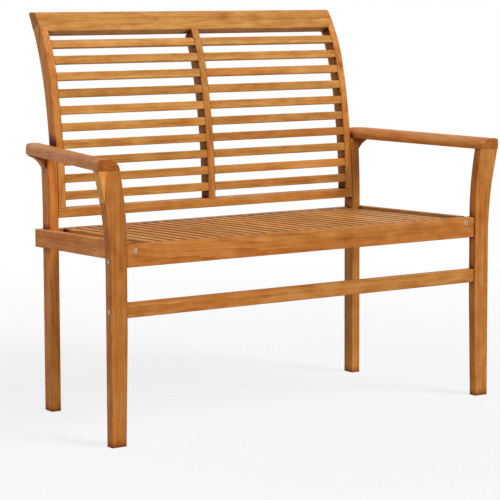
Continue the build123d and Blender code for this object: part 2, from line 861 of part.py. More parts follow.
with BuildPart() as side_rail_bolts:
    add_bolts(both_sides(side_bolt_planes), side_bolt_length)
save_piece(side_rail_bolts, "side_rail_bolts")

# Barrel nuts: each lies across the tail of its bolt
barrel_across_y = [
    (leg_barrel_x, rail_middle_y, front_rail_bolt_z),
    (leg_barrel_x, rail_middle_y, stretcher_bolt_z),
]
with BuildPart() as barrel_nuts:
    nut_bore_diameter = bolt_diameter + joint_clearance * 2
    for x, y, z in barrel_across_y:
        for side in (-1, 1):
            with Locations((side * x, y, z)):
                Cylinder(barrel_diameter / 2, barrel_length, rotation=(quarter_turn, 0, 0))
                Cylinder(
                    nut_bore_diameter / 2,
                    barrel_diameter + overrun,
                    rotation=(0, quarter_turn, 0),
                    mode=Mode.SUBTRACT,
                )
    for side in (-1, 1):
        with Locations((side * side_rail_middle, side_barrel_y, side_bolt_z)):
            Cylinder(barrel_diameter / 2, barrel_length, rotation=(0, quarter_turn, 0))
            Cylinder(
                nut_bore_diameter / 2,
                barrel_diameter + overrun,
                rotation=(quarter_turn, 0, 0),
                mode=Mode.SUBTRACT,
            )
save_piece(barrel_nuts, "barrel_nuts")


def add_screws(planes):
    """Screws with a hexagon recess, their heads sunk below each plane."""
    for plane in planes:
        with BuildPart(mode=Mode.PRIVATE) as screw:
            with BuildSketch(plane.offset(-screw_sink - screw_head_height)):
                Circle(screw_head_diameter / 2)
            extrude(amount=screw_head_height)
            with BuildSketch(plane.offset(-screw_sink)):
                RegularPolygon(screw_slot_across / 2, hexagon_sides, major_radius=False)
            extrude(amount=-screw_slot_depth, mode=Mode.SUBTRACT)
            with BuildSketch(plane.offset(-screw_sink - screw_head_height)):
                Circle(screw_diameter / 2)
            extrude(amount=-screw_length)
        add(screw.part)


with BuildPart() as back_frame_screws:
    add_screws(both_sides(screw_planes))
save_piece(back_frame_screws, "back_frame_screws")
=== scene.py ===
import math
import random

import bmesh
import bpy
from mathutils import Euler, Matrix, Vector


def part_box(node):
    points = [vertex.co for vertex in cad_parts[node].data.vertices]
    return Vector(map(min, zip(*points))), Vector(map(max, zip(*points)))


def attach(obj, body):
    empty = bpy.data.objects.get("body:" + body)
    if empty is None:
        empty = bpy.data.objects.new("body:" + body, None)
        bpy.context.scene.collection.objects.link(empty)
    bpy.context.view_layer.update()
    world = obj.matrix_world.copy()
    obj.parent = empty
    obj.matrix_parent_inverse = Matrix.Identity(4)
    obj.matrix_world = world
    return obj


# A slatted teak bench for two: wood, steel fittings and small screws over the fixed frame.
# Lengths are in metres. X runs along the bench, Y from front to back, Z up.

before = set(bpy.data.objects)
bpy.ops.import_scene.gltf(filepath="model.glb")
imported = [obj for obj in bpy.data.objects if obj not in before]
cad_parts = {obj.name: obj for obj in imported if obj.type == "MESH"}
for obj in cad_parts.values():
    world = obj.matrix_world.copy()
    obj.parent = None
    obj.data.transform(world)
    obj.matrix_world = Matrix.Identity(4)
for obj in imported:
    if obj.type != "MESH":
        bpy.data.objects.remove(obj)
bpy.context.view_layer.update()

MM = 0.001
ALONG_X = Vector((1, 0, 0))
ALONG_Y = Vector((0, 1, 0))
ALONG_Z = Vector((0, 0, 1))

# Noise patterns: how many to a metre, detail, roughness and distortion
WAVE_NOISE = (18, 3, 0.55, 0)
FAINT_NOISE = (30, 2, 0.5, 0)
BAND_NOISE = (85, 3, 0.5, 0.6)
STREAK_NOISE = (290, 4, 0.6, 0.4)
FIBRE_NOISE = (1000, 2, 0.5, 0)
MOTTLE_NOISE = (42, 3, 0.55, 0)
PORE_NOISE = (950, 2, 0.5, 0)
CLOUD_NOISE = (11, 3, 0.5, 0)
RUB_NOISE = (45, 3, 0.6, 0)
BLOTCH_NOISE = (420, 4, 0.6, 0)
MARK_NOISE = (2600, 2, 0.5, 0)
PAPER_NOISE = (30, 3, 0.6, 0)
NOISE_MIDDLE = 0.5

# Which sockets of a Mix node are its factor, its two colours and the mixed colour
MIX_INPUTS = (0, 6, 7)
MIX_OUTPUT = 2

# How long the wood's patterns run: the share of each step along the grain that counts
STREAK_STEP_SHARE = 0.02
PORE_STEP_SHARE = 0.06
FIGURE_STEP_SHARE = 0.16
MOTTLE_STEP_SHARE = 0.45

# Growth rings: spacing, waviness, lean, and how far off the heart of the tree lay
RING_SPACING = 8 * MM
RING_BEND = 26 * MM
RING_TILT = 0.05
RING_POWER = 2
RING_MEAN = 0.33
RING_FAINT_RANGE = (0.42, 0.62)
HEART_NEAREST = 50 * MM
HEART_FARTHEST = 110 * MM

# How much each pattern darkens the wood, and its colours from pale to dark
BAND_DEPTH = 0.32
STREAK_DEPTH = 0.20
FIBRE_DEPTH = 0.08
MOTTLE_DEPTH = 0.38
RING_DEPTH = 0.13
DEPTH_RANGE = (0.33, 0.71)
TEAK_COLORS = (
    (0.0, (0.610, 0.275, 0.080, 1)),
    (0.38, (0.492, 0.191, 0.040, 1)),
    (0.70, (0.378, 0.121, 0.021, 1)),
    (1.0, (0.216, 0.057, 0.011, 1)),
)
PORE_RANGE = (0.60, 0.72)
PORE_DARKNESS = 0.45
PORE_COLOR = (0.50, 0.38, 0.30, 1)
END_GRAIN_RANGE = (0.75, 0.95)
END_GRAIN_DARKNESS = 0.80
END_GRAIN_COLOR = (0.62, 0.48, 0.40, 1)
RED_TINT = (1.06, 0.90, 0.80, 1)
YELLOW_TINT = (0.98, 1.13, 1.22, 1)
CLOUD_STRENGTH = 2.2

# How boards of a kind differ from each other, and the slats of a row too
BOARD_TONE_RANGE = (0.86, 1.10)
BOARD_YELLOW_RANGE = (0.50, 1.10)
BOARD_SHIFT = 7.0
SLAT_TONE_RANGE = (0.90, 1.08)
SLAT_SHIFT = 3.0

# Oiled surface of the wood: roughness, height of the pattern, gloss
WOOD_ROUGHNESS = 0.40
STREAK_ROUGHNESS = 0.14
PORE_ROUGHNESS = 0.12
END_GRAIN_ROUGHNESS = 0.10
STREAK_HEIGHT = 0.5
FIBRE_HEIGHT = 0.25
PORE_HEIGHT = 0.6
WOOD_GLOSS = 0.10
WOOD_GLOSS_TINT = (1, 0.80, 0.60, 1)

# Wear and painted light: edges rubbed paler in patches, from a share to whole, which also paints
# a highlight along the rounded edges, and painted shade darkening the crevices
EDGE_SAMPLES = 6
EDGE_RANGE = (0.995, 0.86)
RUB_RANGE = (0.35, 0.65, 0.3, 1)
WORN_AND_LIT_PALENESS = 1.35
RUBBED_ROUGHNESS = -0.08
PAINTED_SHADE_SAMPLES = 8
CREVICE_ROUGHNESS = 0.2

# Edges of wood and metal: radius of their softening, and how much paler they are painted, as
# rubbed wear and a painted highlight
WOOD_EDGES = (1.6 * MM, 0.40)
METAL_EDGES = (0.3 * MM, 0.5)

# Relief of the grain and of the turning marks: its depth and strength
WOOD_RELIEF = (0.25 * MM, 0.35)
METAL_RELIEF = (0.02 * MM, 0.2)

# Painted shade in crevices and between parts, from an occlusion test: strength, reach, power and
# colour, darker on boards with slats close by
WOOD_PAINTED_SHADE = (1.8, 18 * MM, 1, (0.36, 0.10, 0.03, 1))
SLAT_PAINTED_SHADE = (2.6, 34 * MM, 1, (0.17, 0.045, 0.015, 1))
METAL_PAINTED_SHADE = (3.2, 4 * MM, 2, (0.02, 0.02, 0.02, 1))
SLAT_CARRIERS = ("back_stile", "back_mullion", "seat_slats")

# Plated steel: each metal's clean colour, dull colour and least roughness
BOLT_STEEL = ((0.90, 0.77, 0.62, 1), (0.46, 0.38, 0.29, 1), 0.24)
SCREW_STEEL = ((0.40, 0.38, 0.35, 1), (0.18, 0.16, 0.14, 1), 0.38)
NUT_ZINC = ((0.62, 0.63, 0.62, 1), (0.40, 0.41, 0.42, 1), 0.34)
BLOTCH_RANGE = (0.42, 0.68)
DULL_ROUGHNESS = 0.25
MARK_ROUGHNESS = 0.08

# The seat's slats, in nodes numbered from the left, and the width that a lone board counts as
SEAT_SLATS = 27
SLAT_WIDTH = 22 * MM
SLAT_THICKNESS = 15 * MM
FIRST_SLATS = "seat_slats_1"
LAST_SLATS = "seat_slats_9"
LONE_BOARD = 10.0

# Small screws under the seat, and the pair inside each rear leg
SCREW_HEAD_RADIUS = 3.6 * MM
SCREW_HEAD_HEIGHT = 1.2 * MM
SCREW_SOCKET_RADIUS = 1.6 * MM
SCREW_SOCKET_DEPTH = 0.9 * MM
SCREW_SIDES = 16
SCREW_SEATING = 0.1 * MM
RAIL_SCREW_ABOVE_BASE = 12 * MM
RAIL_SCREW_BELOW_TOP = 18 * MM
RAIL_SCREW_SETBACK = 7 * MM

# Camera, fitted to the bench's corners in the photograph
CAMERA_PLACE = Vector((-2.64853, -3.94332, 0.96233))
CAMERA_HEADING = math.radians(32.6029)
CAMERA_DIP = math.radians(5.6911)
CAMERA_ROLL = math.radians(-0.3475)
CAMERA_LENS = 142.989
CAMERA_SENSOR = 36
CAMERA_SHIFT = 0.1003

# Studio: a pale floor that turns white far away, and white surroundings
FLOOR_HALF = 40.0
FLOOR_DROP = 0.2 * MM
FLOOR_WHITENESS = 0.80
FADE_NEAR = 0.9
FADE_FAR = 2.6
PAPER_TONES = ((0.3, (0.62, 0.62, 0.62, 1)), (0.7, (0.66, 0.66, 0.66, 1)))
PAPER_ROUGHNESS = 0.95
PAPER_GLOSS = 0.1
ROOM_LIGHT = 0.24
WHITE = (1, 1, 1, 1)

# Lamps: name, the way to it, how wide it looks in degrees, and strength
LAMP_DISTANCE = 5.0
LAMPS = (
    ("key lamp", (0.35, -0.66, 0.66), 25, 2.75),
    ("fill lamp", (-0.75, -0.35, 0.55), 60, 0.54),
    ("back lamp", (-0.24, 0.84, 0.36), 50, 0.85),
)

# Kinds of board: tone, where 1 is plain and less is darker, and the way the grain runs
BOARDS = {
    "arm": (1.04, ALONG_Y),
    "front_leg": (0.97, ALONG_Z),
    "front_leg_wedge": (1.10, ALONG_Z),
    "rear_leg": (0.95, ALONG_Z),
    "arm_bracket": (0.92, ALONG_Z),
    "back_stile": (1.0, ALONG_Z),
    "back_mullion": (1.0, ALONG_Z),
    "crest_rail": (1.02, ALONG_X),
    "back_bottom_rail": (0.97, ALONG_X),
    "front_rail": (1.03, ALONG_X),
    "front_stretcher": (1.0, ALONG_X),
    "side_rail": (0.98, ALONG_Y),
    "rear_rail": (0.94, ALONG_X),
    "seat_cleat": (0.92, ALONG_X),
    "back_slat": (1.0, ALONG_X),
    "seat_slats": (1.26, ALONG_Y),
}

# Boards that differ from their kind: their own tone, and how yellow (1) or red (0) they are
LONE_TONES = {
    "arm_left": (0.93, 0.15),
    "arm_right": (0.99, 0.55),
    "front_leg_left": (0.79, 0.30),
    "front_leg_right": (0.88, 0.32),
    "front_leg_wedge_left": (1.30, 0.60),
    "front_leg_wedge_right": (0.95, 0.60),
    "arm_bracket_left": (0.95, 0.45),
    "arm_bracket_right": (0.68, 0.30),
    "side_rail_left": (1.12, 0.40),
    "rear_leg_left": (1.05, 0.30),
    "rear_leg_right": (0.92, 0.22),
    "back_stile_left": (1.14, 0.48),
    "back_stile_right": (1.04, 0.55),
    "back_mullion": (1.02, 0.75),
    "crest_rail": (1.01, 1.00),
    "front_rail": (0.92, 0.20),
    "front_stretcher": (0.98, 0.30),
}


# Measures of the seat
def seat_slat_spacing():
    """Distance from one seat slat to the next."""
    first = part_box(FIRST_SLATS)[0].x
    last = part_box(LAST_SLATS)[1].x
    return (last - first - SLAT_WIDTH) / (SEAT_SLATS - 1)


def seat_slope():
    """Fall of the seat for each metre towards the back."""
    low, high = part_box(FIRST_SLATS)
    return (high.z - low.z - SLAT_THICKNESS) / (high.y - low.y)


# Helpers for node trees
def link(tree, source, target):
    """Joins an output to an input."""
    tree.links.new(source, target)


def feed(tree, socket, value):
    """Joins another node's output to an input, or sets its plain value. None leaves it alone."""
    if isinstance(value, bpy.types.NodeSocket):
        link(tree, value, socket)
    elif value is not None:
        socket.default_value = value


def do_sum(tree, operation, first, second=None, third=None):
    """One Math node. Each value is a number or another node's output."""
    node = tree.nodes.new("ShaderNodeMath")
    node.operation = operation
    for socket, value in zip(node.inputs, (first, second, third)):
        feed(tree, socket, value)
    return node.outputs[0]


def do_vector(tree, operation, first, second=None, scale=None):
    """One Vector Math node. Each value is a vector, a scale or another node's output."""
    node = tree.nodes.new("ShaderNodeVectorMath")
    node.operation = operation
    for socket, value in zip(node.inputs, (first, second)):
        feed(tree, socket, value)
    if scale is not None:
        feed(tree, node.inputs["Scale"], scale)
    return node.outputs["Value"] if operation in ("LENGTH", "DOT_PRODUCT") else node.outputs[0]


def do_noise(tree, vector, pattern):
    """A noise pattern on a vector, from its scale, detail, roughness and distortion."""
    node = tree.nodes.new("ShaderNodeTexNoise")
    link(tree, vector, node.inputs["Vector"])
    for name, value in zip(("Scale", "Detail", "Roughness", "Distortion"), pattern):
        node.inputs[name].default_value = value
    return node.outputs["Fac"]


def do_range(tree, value, low, high, to_low=0, to_high=1):
    """Stretches a value from one range to another and keeps it inside."""
    node = tree.nodes.new("ShaderNodeMapRange")
    link(tree, value, node.inputs["Value"])
    node.inputs["From Min"].default_value = low
    node.inputs["From Max"].default_value = high
    node.inputs["To Min"].default_value = to_low
    node.inputs["To Max"].default_value = to_high
    return node.outputs["Result"]


def do_ramp(tree, value, stops):
    """Colour ramp through (place, colour) stops."""
    node = tree.nodes.new("ShaderNodeValToRGB")
    ramp = node.color_ramp
    while len(ramp.elements) < len(stops):
        ramp.elements.new(1)
    for element, (place, color) in zip(ramp.elements, stops):
        element.position = place
        element.color = color
    link(tree, value, node.inputs["Fac"])
    return node.outputs["Color"]


def do_mix(tree, blend_type, factor, first, second):
    """Mixes two colours. Each value is a colour, a number or another node's output."""
    node = tree.nodes.new("ShaderNodeMix")
    node.data_type = "RGBA"
    node.blend_type = blend_type
    for place, value in zip(MIX_INPUTS, (factor, first, second)):
        feed(tree, node.inputs[place], value)
    return node.outputs[MIX_OUTPUT]


def new_group(name, tree_kind, inputs, outputs):
    """A node group with named inputs and outputs, each (name, kind)."""
    group = bpy.data.node_groups.new(name, tree_kind)
    for in_out, sockets in (("INPUT", inputs), ("OUTPUT", outputs)):
        for socket_name, kind in sockets:
            group.interface.new_socket(
                name=socket_name, in_out=in_out, socket_type="NodeSocket" + kind
            )
    return group, group.nodes.new("NodeGroupInput"), group.nodes.new("NodeGroupOutput")


# Patterns of wood, wear and metal
def pick_slat(tree, place, given):
    """A chance colour and value for the slat that a place lies on, the same all over it."""
    apart = tree.nodes.new("ShaderNodeSeparateXYZ")
    link(tree, place, apart.inputs[0])
    from_start = do_sum(tree, "SUBTRACT", apart.outputs["X"], given.outputs["Slat Start"])
    in_row = do_sum(tree, "DIVIDE", from_start, given.outputs["Slat Spacing"])
    chance = tree.nodes.new("ShaderNodeTexWhiteNoise")
    chance.noise_dimensions = "4D"
    link(tree, given.outputs["Shift"], chance.inputs["Vector"])
    link(tree, do_sum(tree, "FLOOR", in_row), chance.inputs["W"])
    return chance.outputs["Color"], chance.outputs["Value"]


def split_place(tree, place, way):
    """What of a place lies along a way, and what is left across it."""
    along = do_vector(tree, "SCALE", way, scale=do_vector(tree, "DOT_PRODUCT", place, way))
    return along, do_vector(tree, "SUBTRACT", place, along)


def draw_rings(tree, place, figure_place, slat_color, given):
    """Growth rings around the heart of the tree, bent by a slow wave and faint in places."""
    wave = do_noise(tree, figure_place, WAVE_NOISE)
    bend = do_sum(tree, "MULTIPLY", do_sum(tree, "SUBTRACT", wave, NOISE_MIDDLE), RING_BEND)
    from_heart = do_vector(tree, "SUBTRACT", place, given.outputs["Heart"])
    slat_shift = do_vector(tree, "SCALE", slat_color, scale=RING_SPACING)
    from_heart = do_vector(tree, "ADD", from_heart, slat_shift)
    across = split_place(tree, from_heart, given.outputs["Heart Way"])[1]
    radius = do_sum(tree, "ADD", do_vector(tree, "LENGTH", across), bend)
    # Each ring darkens slowly outwards and ends at a sharp line
    in_ring = do_sum(tree, "FRACT", do_sum(tree, "DIVIDE", radius, RING_SPACING))
    ring = do_sum(tree, "SUBTRACT", do_sum(tree, "POWER", in_ring, RING_POWER), RING_MEAN)
    faint = do_range(tree, do_noise(tree, figure_place, FAINT_NOISE), *RING_FAINT_RANGE)
    return do_sum(tree, "MULTIPLY", ring, faint)


def build_teak_grain():
    """Streaks, growth rings, mottling, open pores and tone of one teak board."""
    group, given, result = new_group(
        "teak grain",
        "ShaderNodeTree",
        [
            ("Place", "Vector"),
            ("Grain Way", "Vector"),
            ("Heart", "Vector"),
            ("Heart Way", "Vector"),
            ("Shift", "Vector"),
            ("Tone", "Float"),
            ("Yellow", "Float"),
            ("Slat Start", "Float"),
            ("Slat Spacing", "Float"),
        ],
        [("Color", "Color"), ("Roughness", "Float"), ("Height", "Float")],
    )
    place = given.outputs["Place"]
    way = given.outputs["Grain Way"]

    # Each slat of a row has its own shift, and each pattern its own length along the grain
    slat_color, slat_value = pick_slat(group, place, given)
    slat_shift = do_vector(group, "SCALE", slat_color, scale=SLAT_SHIFT)
    shift = do_vector(group, "ADD", given.outputs["Shift"], slat_shift)
    along, across = split_place(group, do_vector(group, "ADD", place, shift), way)
    streak_place, pore_place, figure_place, mottle_place = (
        do_vector(group, "ADD", across, do_vector(group, "SCALE", along, scale=share))
        for share in (STREAK_STEP_SHARE, PORE_STEP_SHARE, FIGURE_STEP_SHARE, MOTTLE_STEP_SHARE)
    )

    # Growth rings, broad bands, streaks, fine fibres, cross mottling and short open pores
    ring = draw_rings(group, place, figure_place, slat_color, given)
    band = do_noise(group, streak_place, BAND_NOISE)
    streak = do_noise(group, streak_place, STREAK_NOISE)
    fibre = do_noise(group, streak_place, FIBRE_NOISE)
    mottle = do_noise(group, mottle_place, MOTTLE_NOISE)
    pore = do_range(group, do_noise(group, pore_place, PORE_NOISE), *PORE_RANGE)

    depth = do_sum(group, "MULTIPLY", band, BAND_DEPTH)
    for pattern, share in (
        (streak, STREAK_DEPTH),
        (fibre, FIBRE_DEPTH),
        (mottle, MOTTLE_DEPTH),
        (ring, RING_DEPTH),
    ):
        depth = do_sum(group, "MULTIPLY_ADD", pattern, share, depth)
    color = do_ramp(group, do_range(group, depth, *DEPTH_RANGE), TEAK_COLORS)
    darkness = do_sum(group, "MULTIPLY", pore, PORE_DARKNESS)
    color = do_mix(group, "MULTIPLY", darkness, color, PORE_COLOR)

    # The slats of a row differ a little in tone, and boards turn more yellow or red in clouds
    slat_tone = do_range(group, slat_value, 0, 1, *SLAT_TONE_RANGE)
    tone = do_sum(group, "MULTIPLY", given.outputs["Tone"], slat_tone)
    cloud = do_sum(group, "SUBTRACT", do_noise(group, figure_place, CLOUD_NOISE), NOISE_MIDDLE)
    yellow = do_sum(group, "MULTIPLY_ADD", cloud, CLOUD_STRENGTH, given.outputs["Yellow"])
    tint = do_mix(group, "MIX", yellow, RED_TINT, YELLOW_TINT)
    color = do_mix(group, "MULTIPLY", 1, color, tint)
    color = do_vector(group, "SCALE", color, scale=tone)

    # End grain drinks more oil, so it is darker and duller
    surface = group.nodes.new("ShaderNodeNewGeometry")
    facing = do_vector(group, "DOT_PRODUCT", surface.outputs["True Normal"], way)
    end_grain = do_range(group, do_sum(group, "ABSOLUTE", facing), *END_GRAIN_RANGE)
    darkness = do_sum(group, "MULTIPLY", end_grain, END_GRAIN_DARKNESS)
    color = do_mix(group, "MULTIPLY", darkness, color, END_GRAIN_COLOR)

    rough = do_sum(group, "MULTIPLY_ADD", streak, STREAK_ROUGHNESS, WOOD_ROUGHNESS)
    rough = do_sum(group, "MULTIPLY_ADD", pore, PORE_ROUGHNESS, rough)
    rough = do_sum(group, "MULTIPLY_ADD", end_grain, END_GRAIN_ROUGHNESS, rough)
    height = do_sum(group, "MULTIPLY", fibre, FIBRE_HEIGHT)
    height = do_sum(group, "MULTIPLY_ADD", streak, STREAK_HEIGHT, height)
    height = do_sum(group, "SUBTRACT", height, do_sum(group, "MULTIPLY", pore, PORE_HEIGHT))
    link(group, color, result.inputs["Color"])
    link(group, rough, result.inputs["Roughness"])
    link(group, height, result.inputs["Height"])
    return group


def build_wear_and_painted_light():
    """Edges painted paler, as rubbed wear and a painted highlight, painted shade darkening the
    crevices, and the softened normal of the edges.
    """
    group, given, result = new_group(
        "edge wear and painted light",
        "ShaderNodeTree",
        [
            ("Place", "Vector"),
            ("Color", "Color"),
            ("Roughness", "Float"),
            ("Edge Radius", "Float"),
            ("Rubbed", "Float"),
            ("Crevice Strength", "Float"),
            ("Crevice Reach", "Float"),
            ("Crevice Power", "Float"),
            ("Crevice Color", "Color"),
        ],
        [("Color", "Color"), ("Roughness", "Float"), ("Normal", "Vector")],
    )
    surface = group.nodes.new("ShaderNodeNewGeometry")
    soft = group.nodes.new("ShaderNodeBevel")
    soft.samples = EDGE_SAMPLES
    link(group, given.outputs["Edge Radius"], soft.inputs["Radius"])
    same = do_vector(group, "DOT_PRODUCT", soft.outputs["Normal"], surface.outputs["Normal"])
    worn_and_lit_edge = do_range(group, same, *EDGE_RANGE)
    patchy = do_noise(group, given.outputs["Place"], RUB_NOISE)
    worn_and_lit_edge = do_sum(group, "MULTIPLY", worn_and_lit_edge, do_range(group, patchy, *RUB_RANGE))
    worn_and_lit_edge = do_sum(group, "MULTIPLY", worn_and_lit_edge, given.outputs["Rubbed"])

    # Painted shade: an occlusion test darkens the crevices and the gaps between parts towards the
    # shade colour
    shade = group.nodes.new("ShaderNodeAmbientOcclusion")
    shade.samples = PAINTED_SHADE_SAMPLES
    link(group, given.outputs["Crevice Reach"], shade.inputs["Distance"])
    painted_shade_amount = do_sum(group, "SUBTRACT", 1, shade.outputs["AO"])
    painted_shade_amount = do_sum(group, "POWER", painted_shade_amount, given.outputs["Crevice Power"])
    painted_shade_amount = do_sum(group, "MULTIPLY", painted_shade_amount, given.outputs["Crevice Strength"])
    painted_shade_amount = do_sum(group, "MINIMUM", painted_shade_amount, 1)

    # The edges turn paler: partly rubbed wear, partly a painted highlight where the rounding
    # catches light
    paler_worn_and_lit = do_vector(group, "SCALE", given.outputs["Color"], scale=WORN_AND_LIT_PALENESS)
    color = do_mix(group, "MIX", worn_and_lit_edge, given.outputs["Color"], paler_worn_and_lit)
    color = do_mix(group, "MULTIPLY", painted_shade_amount, color, given.outputs["Crevice Color"])
    rough = do_sum(group, "MULTIPLY_ADD", painted_shade_amount, CREVICE_ROUGHNESS, given.outputs["Roughness"])
    rough = do_sum(group, "MULTIPLY_ADD", worn_and_lit_edge, RUBBED_ROUGHNESS, rough)
    link(group, color, result.inputs["Color"])
    link(group, rough, result.inputs["Roughness"])
    link(group, soft.outputs["Normal"], result.inputs["Normal"])
    return group


def build_metal_finish():
    """Fine turning marks and dull blotches of a small plated fitting."""
    group, given, result = new_group(
        "plated metal",
        "ShaderNodeTree",
        [
            ("Place", "Vector"),
            ("Clean", "Color"),
            ("Dull", "Color"),
            ("Least Roughness", "Float"),
        ],
        [("Color", "Color"), ("Roughness", "Float"), ("Height", "Float")],
    )
    place = given.outputs["Place"]
    marks = do_noise(group, place, MARK_NOISE)
    dull = do_range(group, do_noise(group, place, BLOTCH_NOISE), *BLOTCH_RANGE)
    color = do_mix(group, "MIX", dull, given.outputs["Clean"], given.outputs["Dull"])
    rough = do_sum(group, "MULTIPLY_ADD", dull, DULL_ROUGHNESS, given.outputs["Least Roughness"])
    rough = do_sum(group, "MULTIPLY_ADD", marks, MARK_ROUGHNESS, rough)
    link(group, color, result.inputs["Color"])
    link(group, rough, result.inputs["Roughness"])
    link(group, marks, result.inputs["Height"])
    return group


teak_grain = build_teak_grain()
wear_and_painted_light = build_wear_and_painted_light()
plated_metal = build_metal_finish()


# Materials
def new_material(name):
    """An empty material, its node tree and its surface, joined to the output."""
    material = bpy.data.materials.new(name)
    material.use_nodes = True
    tree = material.node_tree
    tree.nodes.clear()
    surface = tree.nodes.new("ShaderNodeBsdfPrincipled")
    output = tree.nodes.new("ShaderNodeOutputMaterial")
    link(tree, surface.outputs[0], output.inputs["Surface"])
    return material, tree, surface


def use_group(tree, group, **values):
    """Places a group in a material with its own values. Words in names are parted by _."""
    node = tree.nodes.new("ShaderNodeGroup")
    node.node_tree = group
    for name, value in values.items():
        feed(tree, node.inputs[name.replace("_", " ")], value)
    return node


def add_place(tree):
    """The place of a point on the object, in metres."""
    return tree.nodes.new("ShaderNodeTexCoord").outputs["Object"]


def dress_surface(tree, surface, place, pattern, edges, painted_shade, relief):
    """Joins a pattern to the surface, with edges painted paler as wear and highlight, painted
    shade in its crevices, and its relief.
    """
    softening, edge_paleness = edges
    strength, reach, power, painted_shade_color = painted_shade
    painted_and_worn = use_group(
        tree,
        wear_and_painted_light,
        Place=place,
        Color=pattern.outputs["Color"],
        Roughness=pattern.outputs["Roughness"],
        Edge_Radius=softening,
        Rubbed=edge_paleness,
        Crevice_Strength=strength,
        Crevice_Reach=reach,
        Crevice_Power=power,
        Crevice_Color=painted_shade_color,
    )
    link(tree, painted_and_worn.outputs["Color"], surface.inputs["Base Color"])
    link(tree, painted_and_worn.outputs["Roughness"], surface.inputs["Roughness"])
    bump = tree.nodes.new("ShaderNodeBump")
    for name, value in zip(("Distance", "Strength"), relief):
        bump.inputs[name].default_value = value
    link(tree, pattern.outputs["Height"], bump.inputs["Height"])
    link(tree, painted_and_worn.outputs["Normal"], bump.inputs["Normal"])
    link(tree, bump.outputs["Normal"], surface.inputs["Normal"])


def heart_of(node_name, way, chance):
    """A place beside the board where the heart of its tree lay, and the way the heart ran."""
    low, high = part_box(node_name)
    middle = (low + high) / 2
    turn = chance.uniform(0, math.tau)
    away = chance.uniform(HEART_NEAREST, HEART_FARTHEST)
    side = way.orthogonal().normalized()
    side.rotate(Matrix.Rotation(turn, 3, way))
    tilt = side * chance.uniform(-RING_TILT, RING_TILT)
    return middle + side * away, (way + tilt).normalized()


def row_of(kind):
    """Where a row of slats starts and its spacing. A lone board counts as one wide slat."""
    if kind != "seat_slats":
        return -LONE_BOARD / 2, LONE_BOARD
    spacing = seat_slat_spacing()
    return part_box(FIRST_SLATS)[0].x - (spacing - SLAT_WIDTH) / 2, spacing


def make_teak(node_name, kind):
    """Oiled teak for one board, with its own heart, shift and tone."""
    chance = random.Random(node_name)
    kind_tone, way = BOARDS[kind]
    usual = (kind_tone * chance.uniform(*BOARD_TONE_RANGE), chance.uniform(*BOARD_YELLOW_RANGE))
    tone, yellow = LONE_TONES.get(node_name, usual)
    heart, heart_way = heart_of(node_name, way, chance)
    shift = Vector((chance.random(), chance.random(), chance.random())) * BOARD_SHIFT
    slat_start, slat_spacing = row_of(kind)

    material, tree, surface = new_material("teak " + node_name.replace("_", " "))
    place = add_place(tree)
    grain = use_group(
        tree,
        teak_grain,
        Place=place,
        Grain_Way=way,
        Heart=heart,
        Heart_Way=heart_way,
        Shift=shift,
        Tone=tone,
        Yellow=yellow,
        Slat_Start=slat_start,
        Slat_Spacing=slat_spacing,
    )
    # Boards with slats close by get a deeper painted shade between the slats
    painted_shade = SLAT_PAINTED_SHADE if kind in SLAT_CARRIERS else WOOD_PAINTED_SHADE
    dress_surface(tree, surface, place, grain, WOOD_EDGES, painted_shade, WOOD_RELIEF)
    surface.inputs["Specular IOR Level"].default_value = WOOD_GLOSS
    surface.inputs["Specular Tint"].default_value = WOOD_GLOSS_TINT
    return material


def make_metal(name, clean, dull, least_roughness):
    """A plated steel fitting."""
    material, tree, surface = new_material(name)
    place = add_place(tree)
    finish = use_group(
        tree,
        plated_metal,
        Place=place,
        Clean=clean,
        Dull=dull,
        Least_Roughness=least_roughness,
    )
    # Painted shade darkens the recesses around the fittings
    dress_surface(tree, surface, place, finish, METAL_EDGES, METAL_PAINTED_SHADE, METAL_RELIEF)
    surface.inputs["Metallic"].default_value = 1
    return material


# Plated fittings
bolt_steel = make_metal("bright socket bolts", *BOLT_STEEL)
screw_steel = make_metal("dull steel screws", *SCREW_STEEL)
nut_zinc = make_metal("zinc plated nuts", *NUT_ZINC)
METALS = {
    "leg_bolts": bolt_steel,
    "side_rail_bolts": bolt_steel,
    "back_frame_screws": screw_steel,
    "barrel_nuts": nut_zinc,
}


def kind_of(node_name):
    """The kind of board that a node is: the longest one that its name starts with."""
    return max((kind for kind in BOARDS if node_name.startswith(kind)), key=len)


def dress_frame():
    """Gives every board of the frame its own wood, and every fitting its metal."""
    for node_name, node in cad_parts.items():
        if node_name in METALS:
            material = METALS[node_name]
        else:
            material = make_teak(node_name, kind_of(node_name))
        for slot in node.material_slots:
            slot.material = material


